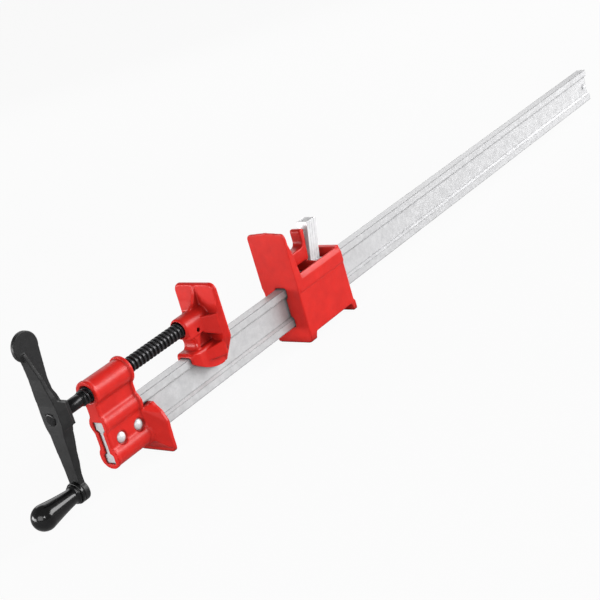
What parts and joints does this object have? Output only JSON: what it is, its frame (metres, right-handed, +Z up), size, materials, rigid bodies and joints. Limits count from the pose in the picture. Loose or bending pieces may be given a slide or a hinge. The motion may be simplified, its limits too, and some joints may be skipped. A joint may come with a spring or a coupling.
{
  "type": "sash clamp",
  "caption": "Sash clamp: I-section rail, cast fixed head with cranked spindle, movable jaw, and a sliding jaw that locks on the rail with leaning clutch plates.",
  "frame": {"origin": "on the bench, in the middle of the fixed head's foot, under the middle of the rail", "axes": "+X along the rail from the handle to the tail, +Y across the rail, +Z up from the bench"},
  "size_m": [1.2982, 0.063, 0.2077],
  "materials": {
    "rail_steel": "bright, faintly mottled",
    "bright_steel": "bright ground",
    "red_coat": "satin gloss coat on a cast surface",
    "black_steel": "blackened, oiled",
    "black_cast": "satin black",
    "black_plastic": "gloss"
  },
  "bodies": {
    "frame": {"rail": "rail_steel", "rail_stop_pin": "bright_steel", "fixed_head": "red_coat", "head_rivets": "bright_steel"},
    "movable_jaw": {"movable_jaw": "red_coat", "jaw_retaining_pin": "black_steel"},
    "spindle": {"spindle": "black_steel", "crank": "black_cast", "grip_axle": "bright_steel", "grip_snap_ring": "black_steel"},
    "grip": {"crank_grip": "black_plastic"},
    "sliding_jaw": {"sliding_jaw": "red_coat"},
    "clutch_1": {"clutch_plate_1": "bright_steel", "clutch_spring": "bright_steel"},
    "clutch_2": {"clutch_plate_2": "bright_steel"},
    "clutch_3": {"clutch_plate_3": "bright_steel"},
    "clutch_4": {"clutch_plate_4": "bright_steel"}
  },
  "joints": [
    {"name": "jaw_slide", "type": "slide", "parent": "frame", "child": "movable_jaw", "axis": [1, 0, 0], "range_m": [-0.0781, 0.0121]},
    {"name": "spindle_turn", "type": "hinge", "parent": "movable_jaw", "child": "spindle", "pos_m": [0, 0, 0.107], "axis": [1, 0, 0], "range_deg": [-4680, 720]},
    {"name": "grip_spin", "type": "hinge", "parent": "spindle", "child": "grip", "pos_m": [-0.1505, 0, 0.0205], "axis": [1, 0, 0], "continuous": true},
    {"name": "sliding_jaw_slide", "type": "slide", "parent": "frame", "child": "sliding_jaw", "axis": [1, 0, 0], "range_m": [-0.12, 0.734]},
    {"name": "clutch_1_tilt", "type": "hinge", "parent": "sliding_jaw", "child": "clutch_1", "pos_m": [0.3235, 0, 0.07323], "axis": [0, 1, 0], "range_deg": [-7.5, 0]},
    {"name": "clutch_2_tilt", "type": "hinge", "parent": "sliding_jaw", "child": "clutch_2", "pos_m": [0.32826, 0, 0.07323], "axis": [0, 1, 0], "range_deg": [-7.5, 0]},
    {"name": "clutch_3_tilt", "type": "hinge", "parent": "sliding_jaw", "child": "clutch_3", "pos_m": [0.33303, 0, 0.07323], "axis": [0, 1, 0], "range_deg": [-7.5, 0]},
    {"name": "clutch_4_tilt", "type": "hinge", "parent": "sliding_jaw", "child": "clutch_4", "pos_m": [0.33779, 0, 0.07323], "axis": [0, 1, 0], "range_deg": [-7.5, 0]}
  ],
  "couplings": [
    {"joint": "jaw_slide", "follows": "spindle_turn", "m_per_rad": 0.00095493},
    {"joint": "clutch_2_tilt", "follows": "clutch_1_tilt", "ratio": 1},
    {"joint": "clutch_3_tilt", "follows": "clutch_1_tilt", "ratio": 1},
    {"joint": "clutch_4_tilt", "follows": "clutch_1_tilt", "ratio": 1}
  ]
}
